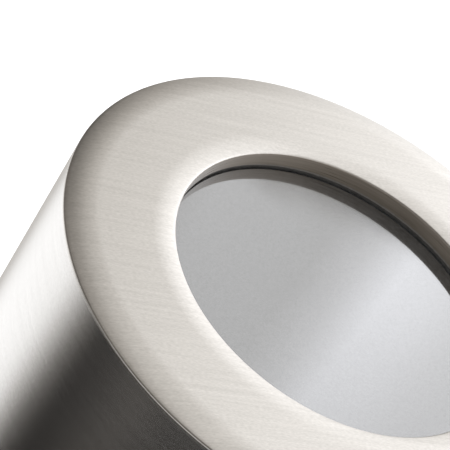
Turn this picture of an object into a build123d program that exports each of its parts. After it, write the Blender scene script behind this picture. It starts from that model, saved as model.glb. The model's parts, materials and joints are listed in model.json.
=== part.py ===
"""Bollard light: an upright brushed stainless tube whose flat ring-shaped end frames a recessed glass lens.

The frame is +Z up, millimetres, with the origin at the centre of the base plate's underside, on the ground.
Three groups move against each other:
  post        base plate, tube, spigot, and the light engine that stands on the spigot
  head        the shell with its lens, which lifts straight off the spigot for service
  base cover  the rosette over the anchor bolts, which slides up the tube for access
"""

from build123d import *
import os

# ---- driving dimensions ---------------------------------------------------------------------------
TOTAL_HEIGHT = 650.0
TUBE_RADIUS = 38.05          # 76.1 mm handrail and post tube
TUBE_WALL = 2.0
WINDOW_RADIUS = 23.25        # clear opening in the face ring
FACE_THICKNESS = 2.4
HEAD_LENGTH = 90.0           # face ring to the seam with the post
BASE_PLATE_RADIUS = 75.0
BASE_PLATE_THICKNESS = 8.0
ANCHOR_CIRCLE_RADIUS = 60.0
ANCHOR_HOLE_RADIUS = 5.5
ANCHOR_COUNT = 4
CABLE_HOLE_RADIUS = 16.0

# ---- worked out from them -------------------------------------------------------------------------
BORE_RADIUS = TUBE_RADIUS - TUBE_WALL
FACE_UNDERSIDE = TOTAL_HEIGHT - FACE_THICKNESS
SEAM_TOP = TOTAL_HEIGHT - HEAD_LENGTH

# The face ring eases off gently towards both of its edges, and each edge is then broken.
OUTER_ROLL_WIDTH = 4.4
OUTER_ROLL_DROP = 0.82
INNER_ROLL_WIDTH = 3.4
INNER_ROLL_DROP = 0.3
EDGE_BREAK = 0.3

# Lens stack, hung under the face ring on welded studs.
GASKET_THICKNESS = 0.5
LENS_RADIUS = 30.0
LENS_THICKNESS = 4.0
CUSHION_THICKNESS = 1.0
CLAMP_THICKNESS = 2.5
CLAMP_INNER_RADIUS = 26.0
CLAMP_OUTER_RADIUS = 35.4
STUD_CIRCLE_RADIUS = 32.6
STUD_LENGTH = 12.0
STUD_COUNT = 3
LENS_TOP = FACE_UNDERSIDE - GASKET_THICKNESS
LENS_BOTTOM = LENS_TOP - LENS_THICKNESS
CUSHION_BOTTOM = LENS_BOTTOM - CUSHION_THICKNESS
CLAMP_BOTTOM = CUSHION_BOTTOM - CLAMP_THICKNESS

# Head joint: a collar in the head slides over a stepped spigot in the post.
SEAM_GASKET_THICKNESS = 1.5
POST_TOP = SEAM_TOP - SEAM_GASKET_THICKNESS
WELD_FIT = 0.05              # gap left where a turned part is welded inside a tube
COLLAR_RADIUS = 33.05
COLLAR_HEIGHT = 14.0
COLLAR_BOTTOM = SEAM_TOP + 2.0
SPIGOT_RADIUS = 32.95
SPIGOT_BORE_RADIUS = 26.0
SPIGOT_TOP = 600.0
SPIGOT_FOOT = 520.0
O_RING_SECTION_RADIUS = 0.8
O_RING_HEIGHT = COLLAR_BOTTOM + 3.0
SET_SCREW_HEIGHT = COLLAR_BOTTOM + 9.0
SET_SCREW_RADIUS = 2.5
SET_SCREW_COUNT = 3

# Light engine, stacked on the spigot.
CARRIER_RADIUS = 32.5
CARRIER_THICKNESS = 3.0
CARRIER_TOP = SPIGOT_TOP + CARRIER_THICKNESS
CARRIER_SCREW_CIRCLE = 29.5
SINK_RADIUS = 26.0
SINK_TOP = CARRIER_TOP + 17.0
SINK_BASE_THICKNESS = 4.0
SINK_CORE_RADIUS = 15.0
FIN_COUNT = 24
FIN_THICKNESS = 1.8
LEAD_RADIUS = 0.9
LEAD_CHANNEL_Y = 22.0        # the leads rise at this distance behind the axis
LEAD_CHANNEL_WIDTH = 6.5
LEAD_SPACING = 1.4           # each LED lead stands this far either side of the middle plane
PAD_THICKNESS = 0.3
BOARD_BOTTOM = SINK_TOP + PAD_THICKNESS
BOARD_RADIUS = 15.0
BOARD_THICKNESS = 1.6
BOARD_TOP = BOARD_BOTTOM + BOARD_THICKNESS
COB_SIDE = 13.4
COB_THICKNESS = 0.6
EMITTER_RISE = 0.4
EMITTER_RADIUS = 5.6
HOLDER_LIP_RADIUS = 7.4      # the lip bears on the emitter package
HOLDER_INNER_RADIUS = 9.6    # below the lip, clear of the package's corners
HOLDER_OUTER_RADIUS = 14.6
HOLDER_HEIGHT = 3.6
HOLDER_FLOOR = 1.4           # under the screw heads
HOLDER_SCREW_CIRCLE = 11.8
REFLECTOR_BOTTOM_RADIUS = 8.4
REFLECTOR_TOP_RADIUS = 24.6
REFLECTOR_BOTTOM = BOARD_TOP + HOLDER_HEIGHT
REFLECTOR_TOP = CUSHION_BOTTOM - 0.8
REFLECTOR_WALL = 0.8

# Driver and terminals, on a bracket that hangs from the carrier plate inside the post.
BRACKET_HALF_WIDTH = 17.0
BRACKET_THICKNESS = 2.0
BRACKET_FACE_Y = -3.0
BRACKET_BOTTOM = 418.0
BRACKET_TAB_HALF_WIDTH = 13.0
BRACKET_TAB_DEPTH = 13.0
DRIVER_HALF_WIDTH = 17.5
DRIVER_DEPTH = 19.0
DRIVER_BOTTOM = 478.0
DRIVER_TOP = 576.0
DRIVER_TAB_LENGTH = 9.0
DRIVER_TAB_THICKNESS = 3.0
TERMINAL_HALF_WIDTH = 15.0
TERMINAL_BOTTOM = 446.0
TERMINAL_HEIGHT = 16.0
TERMINAL_DEPTH = 14.0
POLE_PITCH = 9.0
POLES = (-POLE_PITCH, 0.0, POLE_PITCH)
WIRE_ENTRY_Y = BRACKET_FACE_Y + 6.0
TERMINAL_FRONT = BRACKET_FACE_Y + TERMINAL_DEPTH
TERMINAL_TOP = TERMINAL_BOTTOM + TERMINAL_HEIGHT
TERMINAL_MIDDLE = TERMINAL_BOTTOM + TERMINAL_HEIGHT / 2
TERMINAL_FIXING_HEIGHT = TERMINAL_MIDDLE - 4.5
FIXING_SEAT_Y = TERMINAL_FRONT - 3.5
WIRE_SOCKET_DEPTH = 4.0
EARTH_X = 11.0
EARTH_HEIGHT = 425.0
LUG_THICKNESS = 1.0
LUG_RADIUS = 4.0
BARREL_RADIUS = 1.8
BARREL_BOTTOM = EARTH_HEIGHT + LUG_RADIUS - 0.5
BARREL_TOP = BARREL_BOTTOM + 6.0
BARREL_Y = BRACKET_FACE_Y + BARREL_RADIUS + 0.1

# Fasteners.
M3_RADIUS = 1.5
M3_HEAD_RADIUS = 2.75
M3_HEAD_HEIGHT = 1.8
M3_SHANK_RADIUS = M3_RADIUS - 0.05
M3_CLEARANCE_RADIUS = M3_RADIUS + 0.1
M4_RADIUS = 2.0
WASHER_THICKNESS = 0.5
NUT_HEIGHT = 2.4
BRACKET_SCREW_X = 8.0
BRACKET_SCREW_Y = BRACKET_FACE_Y - 8.0
SINK_SCREW_X = 11.0
SINK_SCREW_Y = 5.0
LEAD_HOLE_RADIUS = 4.6
LEAD_HOLE_Y = LEAD_CHANNEL_Y - 2.0

# Base fittings.
CABLE_BUSH_RADIUS = 7.0
WELD_LEG = 3.5

# Base cover.
COVER_RADIUS = 80.0
COVER_HEIGHT = 30.0
COVER_RISE = 3.0             # the top rises this much from shoulder to bore
COVER_SHOULDER = 6.0
COVER_SHEET = 1.5
COVER_BORE_RADIUS = 40.2
COVER_SKIRT_GAP = 1.0
GRIP_RING_CLEARANCE = 0.3


# ---- shared helpers -------------------------------------------------------------------------------
def rod(radius, bottom, top, x=0.0, y=0.0):
    """An upright cylinder between two heights."""
    return Pos(x, y, (bottom + top) / 2) * Cylinder(radius, top - bottom)


def ring(inner, outer, bottom, top):
    """An upright tube or washer between two heights."""
    return rod(outer, bottom, top) - rod(inner, bottom - 1, top + 1)


def block(x_range, y_range, z_range):
    """A box given by its limits along each axis."""
    limits = (x_range, y_range, z_range)
    centre = [(low + high) / 2 for low, high in limits]
    size = [high - low for low, high in limits]
    return Pos(*centre) * Box(*size)


def radial_rod(radius, inner, outer, height):
    """A cylinder that lies along +X between two distances from the axis."""
    return Pos((inner + outer) / 2, 0, height) * Rot(0, 90, 0) * Cylinder(radius, outer - inner)


def around(shape, count, start=0.0):
    """Copies of a shape, evenly turned about the axis."""
    return [Rot(0, 0, start + 360 / count * i) * shape for i in range(count)]


def drilled(shape, holes):
    """The shape with each of the holes taken out."""
    for hole in holes:
        shape -= hole
    return shape


def set_screw_holes(inner, outer):
    """The radial holes that the head's set screws pass through, between two distances from the axis."""
    return around(radial_rod(SET_SCREW_RADIUS, inner, outer, SET_SCREW_HEIGHT), SET_SCREW_COUNT, 90)


def corners_at(sketch, point):
    """The corners of an XZ sketch that lie at a point."""
    x, z = point
    return [v for v in sketch.vertices() if abs(v.X - x) < 0.01 and abs(v.Z - z) < 0.01]


def turned(profile):
    """A solid of revolution from a face drawn in the XZ plane."""
    return revolve(profile, Axis.Z, 360)


def pan_screw(x, y, head_bottom, length, upwards=False):
    """A cross-drive pan head screw; the head lies above head_bottom, or below it on one driven upwards."""
    head = rod(M3_HEAD_RADIUS, 0, M3_HEAD_HEIGHT)
    head = fillet(head.edges().sort_by(Axis.Z)[-1], M3_HEAD_HEIGHT * 0.45)
    drive = Box(0.7, 3.0, 2.0) + Box(3.0, 0.7, 2.0)
    screw = head + rod(M3_SHANK_RADIUS, -length, 0) - Pos(0, 0, M3_HEAD_HEIGHT) * drive
    turn = Rot(180, 0, 0) if upwards else Rot(0, 0, 0)
    return Pos(x, y, head_bottom) * turn * screw


def lead(points, radii, radius=LEAD_RADIUS):
    """A round wire along straight runs joined by tangent arcs."""
    path = FilletPolyline(*points, radius=radii)
    section = Plane(origin=path @ 0, z_dir=path % 0) * Circle(radius)
    wire = sweep(section, path=path)
    wanted = path.length * section.area
    print("lead length", round(path.length, 1), "volume error", round(wire.volume / wanted - 1, 4))
    return wire


# ---- head -----------------------------------------------------------------------------------------
def head_shell():
    """Deep cup: the face ring with its window, rolled at both edges, and the skirt down to the seam."""
    roll_in = WINDOW_RADIUS + INNER_ROLL_WIDTH
    roll_out = TUBE_RADIUS - OUTER_ROLL_WIDTH
    lip = (WINDOW_RADIUS, TOTAL_HEIGHT - INNER_ROLL_DROP)
    rim = (TUBE_RADIUS, TOTAL_HEIGHT - OUTER_ROLL_DROP)
    with BuildSketch(Plane.XZ) as sketch:
        with BuildLine(Plane.XZ):
            inner_roll = TangentArc((roll_in, TOTAL_HEIGHT), lip, tangent=(-1, 0))
            Line((roll_in, TOTAL_HEIGHT), (roll_out, TOTAL_HEIGHT))
            outer_roll = TangentArc((roll_out, TOTAL_HEIGHT), rim, tangent=(1, 0))
            Polyline(
                outer_roll @ 1,
                (TUBE_RADIUS, SEAM_TOP),
                (BORE_RADIUS, SEAM_TOP),
                (BORE_RADIUS, FACE_UNDERSIDE),
                (WINDOW_RADIUS, FACE_UNDERSIDE),
                inner_roll @ 1,
            )
        make_face()
        fillet(corners_at(sketch, lip) + corners_at(sketch, rim), EDGE_BREAK)
    return drilled(turned(sketch.sketch), set_screw_holes(BORE_RADIUS - 1, TUBE_RADIUS + 1))


def head_collar():
    """Turned ring welded inside the skirt; it guides the head on the spigot and holds the set screws."""
    collar = ring(COLLAR_RADIUS, BORE_RADIUS - WELD_FIT, COLLAR_BOTTOM, COLLAR_BOTTOM + COLLAR_HEIGHT)
    lead_in = collar.edges().filter_by(GeomType.CIRCLE).group_by(Axis.Z)[0].sort_by(SortBy.LENGTH)[0]
    collar = chamfer(lead_in, 0.8)
    return drilled(collar, set_screw_holes(COLLAR_RADIUS - 1, BORE_RADIUS + 1))


def set_screws():
    """Socket set screws, just under flush with the skirt; their tips clamp the spigot."""
    outer_end = TUBE_RADIUS - 0.3
    socket_depth = 2.2
    screw = radial_rod(SET_SCREW_RADIUS - 0.04, COLLAR_RADIUS + 0.02, outer_end, SET_SCREW_HEIGHT)
    socket = Pos(outer_end - socket_depth, 0, SET_SCREW_HEIGHT) * Rot(0, 90, 0)
    socket *= extrude(RegularPolygon(1.25, 6, major_radius=False), socket_depth + 1)
    return around(screw - socket, SET_SCREW_COUNT, 90)


def glass_lens():
    """Toughened glass disc with ground edges."""
    disc = rod(LENS_RADIUS, LENS_BOTTOM, LENS_TOP)
    return chamfer(disc.edges().filter_by(GeomType.CIRCLE), 0.5)


def clamp_ring():
    """Pressed ring that lifts the lens against the face ring."""
    plate = ring(CLAMP_INNER_RADIUS, CLAMP_OUTER_RADIUS, CLAMP_BOTTOM, CUSHION_BOTTOM)
    hole = rod(M3_RADIUS + 0.2, CLAMP_BOTTOM - 1, CUSHION_BOTTOM + 1, STUD_CIRCLE_RADIUS)
    return drilled(plate, around(hole, STUD_COUNT, 30))


def clamp_washers():
    washer = rod(3.0, 0, WASHER_THICKNESS) - rod(M3_RADIUS + 0.1, -1, WASHER_THICKNESS + 1)
    return around(Pos(STUD_CIRCLE_RADIUS, 0, CLAMP_BOTTOM - WASHER_THICKNESS) * washer, STUD_COUNT, 30)


def clamp_nuts():
    """M3 hexagon nuts with a flat side towards the skirt."""
    nut = extrude(RegularPolygon(2.75, 6, major_radius=False, rotation=30), NUT_HEIGHT)
    nut -= rod(M3_RADIUS + 0.03, -1, NUT_HEIGHT + 1)
    bottom = CLAMP_BOTTOM - WASHER_THICKNESS - NUT_HEIGHT
    return around(Pos(STUD_CIRCLE_RADIUS, 0, bottom) * nut, STUD_COUNT, 30)


def weld_studs():
    stud = rod(M3_RADIUS, FACE_UNDERSIDE - STUD_LENGTH, FACE_UNDERSIDE, STUD_CIRCLE_RADIUS)
    return around(stud, STUD_COUNT, 30)


# ---- post -----------------------------------------------------------------------------------------
def spigot():
    """Stepped turned part: the foot is welded inside the tube, the neck stands up into the head."""
    foot = rod(BORE_RADIUS - WELD_FIT, SPIGOT_FOOT, POST_TOP)
    neck = rod(SPIGOT_RADIUS, POST_TOP, SPIGOT_TOP)
    neck = chamfer(neck.edges().filter_by(GeomType.CIRCLE).sort_by(Axis.Z)[-1], 1.2)
    body = foot + neck - rod(SPIGOT_BORE_RADIUS, SPIGOT_FOOT - 1, SPIGOT_TOP + 1)
    half_groove = O_RING_SECTION_RADIUS + 0.3
    groove_floor = SPIGOT_RADIUS - 2 * O_RING_SECTION_RADIUS
    body -= ring(groove_floor, SPIGOT_RADIUS + 1, O_RING_HEIGHT - half_groove, O_RING_HEIGHT + half_groove)
    screw_hole = rod(M3_RADIUS, SPIGOT_TOP - 8, SPIGOT_TOP + 1, CARRIER_SCREW_CIRCLE)
    return drilled(body, around(screw_hole, 3, 30))


def spigot_o_ring():
    centre_radius = SPIGOT_RADIUS - O_RING_SECTION_RADIUS
    return Pos(0, 0, O_RING_HEIGHT) * Torus(centre_radius, O_RING_SECTION_RADIUS)


def carrier_plate():
    """Disc that closes the spigot and carries the heat sink above and the driver bracket below."""
    plate = rod(CARRIER_RADIUS, SPIGOT_TOP, CARRIER_TOP)
    through = (SPIGOT_TOP - 1, CARRIER_TOP + 1)
    plate = drilled(plate, around(rod(M3_CLEARANCE_RADIUS, *through, CARRIER_SCREW_CIRCLE), 3, 30))
    for side in (-1, 1):
        plate -= rod(M3_CLEARANCE_RADIUS, *through, side * BRACKET_SCREW_X, BRACKET_SCREW_Y)
        plate -= Pos(side * BRACKET_SCREW_X, BRACKET_SCREW_Y, CARRIER_TOP - 0.85) * Cone(1.6, 3.3, 1.7)
        plate -= rod(M3_CLEARANCE_RADIUS, *through, side * SINK_SCREW_X, SINK_SCREW_Y)
    return plate - rod(LEAD_HOLE_RADIUS, *through, 0, LEAD_HOLE_Y)


def lead_grommet():
    """Rubber bush where the LED leads pass through the carrier plate."""
    bush = rod(LEAD_HOLE_RADIUS - 0.05, SPIGOT_TOP - 1.2, CARRIER_TOP, 0, LEAD_HOLE_Y)
    bush += rod(LEAD_HOLE_RADIUS + 1.0, SPIGOT_TOP - 1.2, SPIGOT_TOP - 0.02, 0, LEAD_HOLE_Y)
    for side in (-1, 1):
        bush -= rod(LEAD_RADIUS + 0.05, SPIGOT_TOP - 2, CARRIER_TOP + 1, side * LEAD_SPACING, LEAD_HOLE_Y)
    return bush


def heat_sink():
    """Finned aluminium column with a solid top plate and a channel for the LED leads."""
    sink = rod(SINK_CORE_RADIUS, CARRIER_TOP, SINK_TOP)
    sink += rod(SINK_RADIUS, SINK_TOP - SINK_BASE_THICKNESS, SINK_TOP)
    half_fin = FIN_THICKNESS / 2
    fin = block((SINK_CORE_RADIUS - 1, SINK_RADIUS - 0.2), (-half_fin, half_fin), (CARRIER_TOP, SINK_TOP - 1))
    fin_pitch = 360 / FIN_COUNT
    for i in range(FIN_COUNT):
        beside_channel = abs(fin_pitch * i - 90) < 1.1 * fin_pitch
        if not beside_channel:
            sink += Rot(0, 0, fin_pitch * i) * fin
    half = LEAD_CHANNEL_WIDTH / 2
    sink -= block((-half, half), (LEAD_CHANNEL_Y - 5, SINK_RADIUS + 1), (CARRIER_TOP - 1, SINK_TOP + 1))
    for side in (-1, 1):
        sink -= rod(M3_RADIUS, CARRIER_TOP - 1, CARRIER_TOP + 9, side * SINK_SCREW_X, SINK_SCREW_Y)
        sink -= rod(M3_RADIUS, SINK_TOP - 5, SINK_TOP + 1, side * HOLDER_SCREW_CIRCLE)
    return sink


def heat_sink_screws():
    """Driven up through the carrier plate."""
    return [pan_screw(side * SINK_SCREW_X, SINK_SCREW_Y, SPIGOT_TOP, 11.0, upwards=True) for side in (-1, 1)]


def holder_screws():
    """Through the holder, board and pad into the heat sink."""
    head_bottom = BOARD_TOP + HOLDER_FLOOR
    return [pan_screw(side * HOLDER_SCREW_CIRCLE, 0, head_bottom, 7.0) for side in (-1, 1)]


def thermal_pad():
    """Thin pad that fills the joint between the board and the heat sink."""
    pad = rod(BOARD_RADIUS, SINK_TOP, BOARD_BOTTOM)
    return drilled(pad, holder_screw_holes(SINK_TOP, BOARD_BOTTOM))


def holder_screw_holes(bottom, top):
    return [rod(M3_CLEARANCE_RADIUS, bottom - 1, top + 1, side * HOLDER_SCREW_CIRCLE) for side in (-1, 1)]


def led_board():
    """Aluminium-core board that carries the emitter."""
    board = rod(BOARD_RADIUS, BOARD_BOTTOM, BOARD_TOP)
    return drilled(board, holder_screw_holes(BOARD_BOTTOM, BOARD_TOP))


def led_emitter():
    """Chip-on-board package: a ceramic square with its round yellow emitting area proud of it."""
    half = COB_SIDE / 2
    top = BOARD_TOP + COB_THICKNESS
    package = block((-half, half), (-half, half), (BOARD_TOP, top))
    return package + rod(EMITTER_RADIUS, BOARD_TOP, top + EMITTER_RISE)


def led_holder():
    """Moulded ring whose lip holds the emitter down and whose top carries the reflector."""
    top = BOARD_TOP + HOLDER_HEIGHT
    lip_bottom = BOARD_TOP + COB_THICKNESS
    holder = ring(HOLDER_INNER_RADIUS, HOLDER_OUTER_RADIUS, BOARD_TOP, top)
    holder += ring(HOLDER_LIP_RADIUS, HOLDER_INNER_RADIUS + 0.5, lip_bottom, top)
    holder = drilled(holder, holder_screw_holes(BOARD_TOP, top))
    for side in (-1, 1):
        holder -= rod(M3_HEAD_RADIUS + 0.2, BOARD_TOP + HOLDER_FLOOR, top + 1, side * HOLDER_SCREW_CIRCLE)
    half_gap = LEAD_CHANNEL_WIDTH / 2
    return holder - block((-half_gap, half_gap), (HOLDER_INNER_RADIUS + 1, 20), (BOARD_TOP - 1, top + 1))


def reflector():
    """Spun aluminium bowl from the emitter to just under the lens, with a rolled rim."""
    with BuildSketch(Plane.XZ) as sketch:
        with BuildLine(Plane.XZ):
            outer = Spline(
                (REFLECTOR_BOTTOM_RADIUS + REFLECTOR_WALL, REFLECTOR_BOTTOM),
                (REFLECTOR_TOP_RADIUS, REFLECTOR_TOP),
                tangents=((1.2, 0.8), (0.35, 1)),
            )
            inner = Spline(
                (REFLECTOR_BOTTOM_RADIUS, REFLECTOR_BOTTOM),
                (REFLECTOR_TOP_RADIUS - REFLECTOR_WALL, REFLECTOR_TOP),
                tangents=((1.2, 0.85), (0.35, 1)),
            )
            Line(outer @ 0, inner @ 0)
            Line(outer @ 1, inner @ 1)
        make_face()
    rim_inner = REFLECTOR_TOP_RADIUS - REFLECTOR_WALL
    rim_outer = REFLECTOR_TOP_RADIUS + 0.6
    return turned(sketch.sketch) + ring(rim_inner, rim_outer, REFLECTOR_TOP - 0.6, REFLECTOR_TOP)


def cross_rod(radius, y_low, y_high, x, z):
    """A cylinder that lies along Y."""
    return Pos(x, (y_low + y_high) / 2, z) * Rot(90, 0, 0) * Cylinder(radius, y_high - y_low)


def driver_screw_heights():
    return (DRIVER_BOTTOM - DRIVER_TAB_LENGTH / 2, DRIVER_TOP + DRIVER_TAB_LENGTH / 2)


def terminal_fixing_places():
    """The two fixings lie between the poles."""
    return [(side * POLE_PITCH / 2, TERMINAL_FIXING_HEIGHT) for side in (-1, 1)]


def driver_bracket():
    """Bent sheet strip: a tab under the carrier plate and a long leg for the driver and terminals."""
    back = BRACKET_FACE_Y - BRACKET_THICKNESS
    leg_x = (-BRACKET_HALF_WIDTH, BRACKET_HALF_WIDTH)
    tab_x = (-BRACKET_TAB_HALF_WIDTH, BRACKET_TAB_HALF_WIDTH)
    bracket = block(leg_x, (back, BRACKET_FACE_Y), (BRACKET_BOTTOM, SPIGOT_TOP - 6))
    bracket += block(tab_x, (back, BRACKET_FACE_Y), (SPIGOT_TOP - 8, SPIGOT_TOP))
    tab_y = (BRACKET_FACE_Y - BRACKET_TAB_DEPTH, BRACKET_FACE_Y)
    bracket += block(tab_x, tab_y, (SPIGOT_TOP - BRACKET_THICKNESS, SPIGOT_TOP))
    for side in (-1, 1):
        bracket -= rod(M3_RADIUS, SPIGOT_TOP - 5, SPIGOT_TOP + 1, side * BRACKET_SCREW_X, BRACKET_SCREW_Y)
    places = [(0, height) for height in driver_screw_heights()] + terminal_fixing_places()
    for x, z in places:
        bracket -= cross_rod(M3_RADIUS, back - 1, BRACKET_FACE_Y + 1, x, z)
    return bracket - cross_rod(M4_RADIUS, back - 1, BRACKET_FACE_Y + 1, EARTH_X, EARTH_HEIGHT)


def bracket_screws():
    """Countersunk screws, flush with the carrier plate under the heat sink."""
    screws = []
    for side in (-1, 1):
        x, y = side * BRACKET_SCREW_X, BRACKET_SCREW_Y
        head = Pos(x, y, CARRIER_TOP - 0.85) * Cone(1.5, 3.2, 1.68)
        shank = rod(M3_SHANK_RADIUS, SPIGOT_TOP - 6, CARRIER_TOP - 1.0, x, y)
        slot = Pos(x, y, CARRIER_TOP) * Box(0.7, 4.0, 1.2)
        screws.append(head + shank - slot)
    return screws


def driver():
    """Moulded LED driver with a fixing tab at each end and rounded case edges."""
    half = DRIVER_HALF_WIDTH
    front = BRACKET_FACE_Y + DRIVER_DEPTH
    case = block((-half, half), (BRACKET_FACE_Y, front), (DRIVER_BOTTOM, DRIVER_TOP))
    case = fillet(case.edges().filter_by(Axis.Z).group_by(Axis.Y)[-1], 4.0)
    tab_face = BRACKET_FACE_Y + DRIVER_TAB_THICKNESS
    tab_reach = (DRIVER_BOTTOM - DRIVER_TAB_LENGTH, DRIVER_TOP + DRIVER_TAB_LENGTH)
    case += block((-7, 7), (BRACKET_FACE_Y, tab_face), tab_reach)
    for height in driver_screw_heights():
        case -= cross_rod(M3_CLEARANCE_RADIUS, BRACKET_FACE_Y - 1, tab_face + 1, 0, height)
    return case


def front_screw(x, z, head_bottom_y, length):
    """A pan head screw driven along -Y."""
    return Pos(x, head_bottom_y, z) * Rot(-90, 0, 0) * pan_screw(0, 0, 0, length)


def driver_screws():
    """One pan head screw through each driver tab into the bracket."""
    return [front_screw(0, z, BRACKET_FACE_Y + DRIVER_TAB_THICKNESS, 6.0) for z in driver_screw_heights()]


def terminal_block():
    """Three-pole block: wire sockets above and below, clamp screw wells and fixing wells in front."""
    body_x = (-TERMINAL_HALF_WIDTH, TERMINAL_HALF_WIDTH)
    body = block(body_x, (BRACKET_FACE_Y, TERMINAL_FRONT), (TERMINAL_BOTTOM, TERMINAL_TOP))
    for x in POLES:
        body -= rod(1.9, TERMINAL_TOP - WIRE_SOCKET_DEPTH, TERMINAL_TOP + 1, x, WIRE_ENTRY_Y)
        body -= rod(1.9, TERMINAL_BOTTOM - 1, TERMINAL_BOTTOM + WIRE_SOCKET_DEPTH, x, WIRE_ENTRY_Y)
        body -= cross_rod(2.2, TERMINAL_FRONT - 3.5, TERMINAL_FRONT + 1, x, TERMINAL_MIDDLE)
    for x, z in terminal_fixing_places():
        body -= cross_rod(M3_CLEARANCE_RADIUS, BRACKET_FACE_Y - 1, TERMINAL_FRONT, x, z)
        body -= cross_rod(M3_HEAD_RADIUS + 0.1, FIXING_SEAT_Y, TERMINAL_FRONT + 1, x, z)
    return body


def terminal_screws():
    """Slotted clamp screws at the bottom of the wells."""
    head_y = TERMINAL_FRONT - 1.2
    screws = []
    for x in POLES:
        body = cross_rod(2.0, TERMINAL_FRONT - 3.5, head_y, x, TERMINAL_MIDDLE)
        screws.append(body - Pos(x, head_y, TERMINAL_MIDDLE) * Box(0.7, 1.6, 5))
    return screws


def terminal_fixing_screws():
    length = FIXING_SEAT_Y - BRACKET_FACE_Y + 4.0
    return [front_screw(x, z, FIXING_SEAT_Y, length) for x, z in terminal_fixing_places()]


def led_lead(side):
    """Driver output to the LED board, up through the bush and the heat sink's channel."""
    x = side * LEAD_SPACING
    start_y = 10.0
    pad_y = BOARD_RADIUS - 2.6
    over = BOARD_TOP + 3.2
    points = [
        (x, start_y, DRIVER_TOP),
        (x, start_y, DRIVER_TOP + 9),
        (x, LEAD_HOLE_Y, DRIVER_TOP + 19),
        (x, LEAD_HOLE_Y, over),
        (x, pad_y, over),
        (x, pad_y, BOARD_TOP),
    ]
    return lead(points, [4.5, 4.5, 3.0, 2.2])


def mains_lead(pole):
    """Terminal block up to the driver's input end."""
    x = POLES[pole]
    entry_y = BRACKET_FACE_Y + 12.0
    points = [
        (x, WIRE_ENTRY_Y, TERMINAL_TOP - WIRE_SOCKET_DEPTH),
        (x, WIRE_ENTRY_Y, TERMINAL_TOP + 4),
        (x * 0.8, entry_y, TERMINAL_TOP + 11),
        (x * 0.8, entry_y, DRIVER_BOTTOM),
    ]
    return lead(points, [4.0, 4.0])


def earth_lead():
    """Terminal block down into the barrel of the earth lug."""
    points = [
        (POLES[2], WIRE_ENTRY_Y, TERMINAL_BOTTOM + WIRE_SOCKET_DEPTH),
        (POLES[2], WIRE_ENTRY_Y, TERMINAL_BOTTOM - 2.5),
        (EARTH_X, BARREL_Y, BARREL_TOP + 2.5),
        (EARTH_X, BARREL_Y, BARREL_BOTTOM + 2),
    ]
    return lead(points, [3.0, 3.0])


def earth_lug():
    """Ring terminal that bonds the bracket, with its crimped barrel pointing up."""
    back, front = BRACKET_FACE_Y, BRACKET_FACE_Y + LUG_THICKNESS
    lug = cross_rod(LUG_RADIUS, back, front, EARTH_X, EARTH_HEIGHT)
    lug += block((EARTH_X - 1.5, EARTH_X + 1.5), (back, front), (EARTH_HEIGHT, BARREL_BOTTOM + 1))
    lug += rod(BARREL_RADIUS, BARREL_BOTTOM, BARREL_TOP, EARTH_X, BARREL_Y)
    lug -= rod(LEAD_RADIUS, BARREL_BOTTOM + 2, BARREL_TOP + 1, EARTH_X, BARREL_Y)
    return lug - cross_rod(M4_RADIUS + 0.1, back - 1, front + 1, EARTH_X, EARTH_HEIGHT)


def earth_screw():
    """M4 slotted cheese head screw through the lug."""
    head_bottom = BRACKET_FACE_Y + LUG_THICKNESS
    head_top = head_bottom + 2.4
    screw = cross_rod(3.4, head_bottom, head_top, EARTH_X, EARTH_HEIGHT)
    screw += cross_rod(M4_RADIUS - 0.05, BRACKET_FACE_Y - 5, head_bottom, EARTH_X, EARTH_HEIGHT)
    return screw - Pos(EARTH_X, head_top, EARTH_HEIGHT) * Box(8, 2, 1)


def base_plate():
    """Round flange with the anchor holes and the cable entry."""
    plate = rod(BASE_PLATE_RADIUS, 0, BASE_PLATE_THICKNESS)
    plate = chamfer(plate.edges().filter_by(GeomType.CIRCLE).sort_by(Axis.Z)[-1], 1.0)
    anchor_hole = rod(ANCHOR_HOLE_RADIUS, -1, BASE_PLATE_THICKNESS + 1, ANCHOR_CIRCLE_RADIUS)
    plate = drilled(plate, around(anchor_hole, ANCHOR_COUNT, 45))
    return plate - rod(CABLE_HOLE_RADIUS, -1, BASE_PLATE_THICKNESS + 1)


def cable_grommet():
    """Rubber bush that lines the cable entry, with a lip that rests on the plate."""
    top = BASE_PLATE_THICKNESS + 1.8
    body = rod(CABLE_HOLE_RADIUS - 0.05, 0.6, top)
    body += ring(CABLE_HOLE_RADIUS - 1, CABLE_HOLE_RADIUS + 2.5, BASE_PLATE_THICKNESS, top)
    return body - rod(CABLE_BUSH_RADIUS, -1, BASE_PLATE_THICKNESS + 3)


def base_weld():
    """Fillet weld around the foot of the tube."""
    with BuildSketch(Plane.XZ) as sketch:
        with BuildLine(Plane.XZ):
            foot = (TUBE_RADIUS + 0.02, BASE_PLATE_THICKNESS + 0.02)
            out = (foot[0] + WELD_LEG, foot[1])
            up = (foot[0], foot[1] + WELD_LEG)
            Line(foot, out)
            bulge = ((out[0] + up[0]) / 2 - 0.25, (out[1] + up[1]) / 2 - 0.25)
            ThreePointArc(out, bulge, up)
            Line(up, foot)
        make_face()
    return turned(sketch.sketch)


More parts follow.
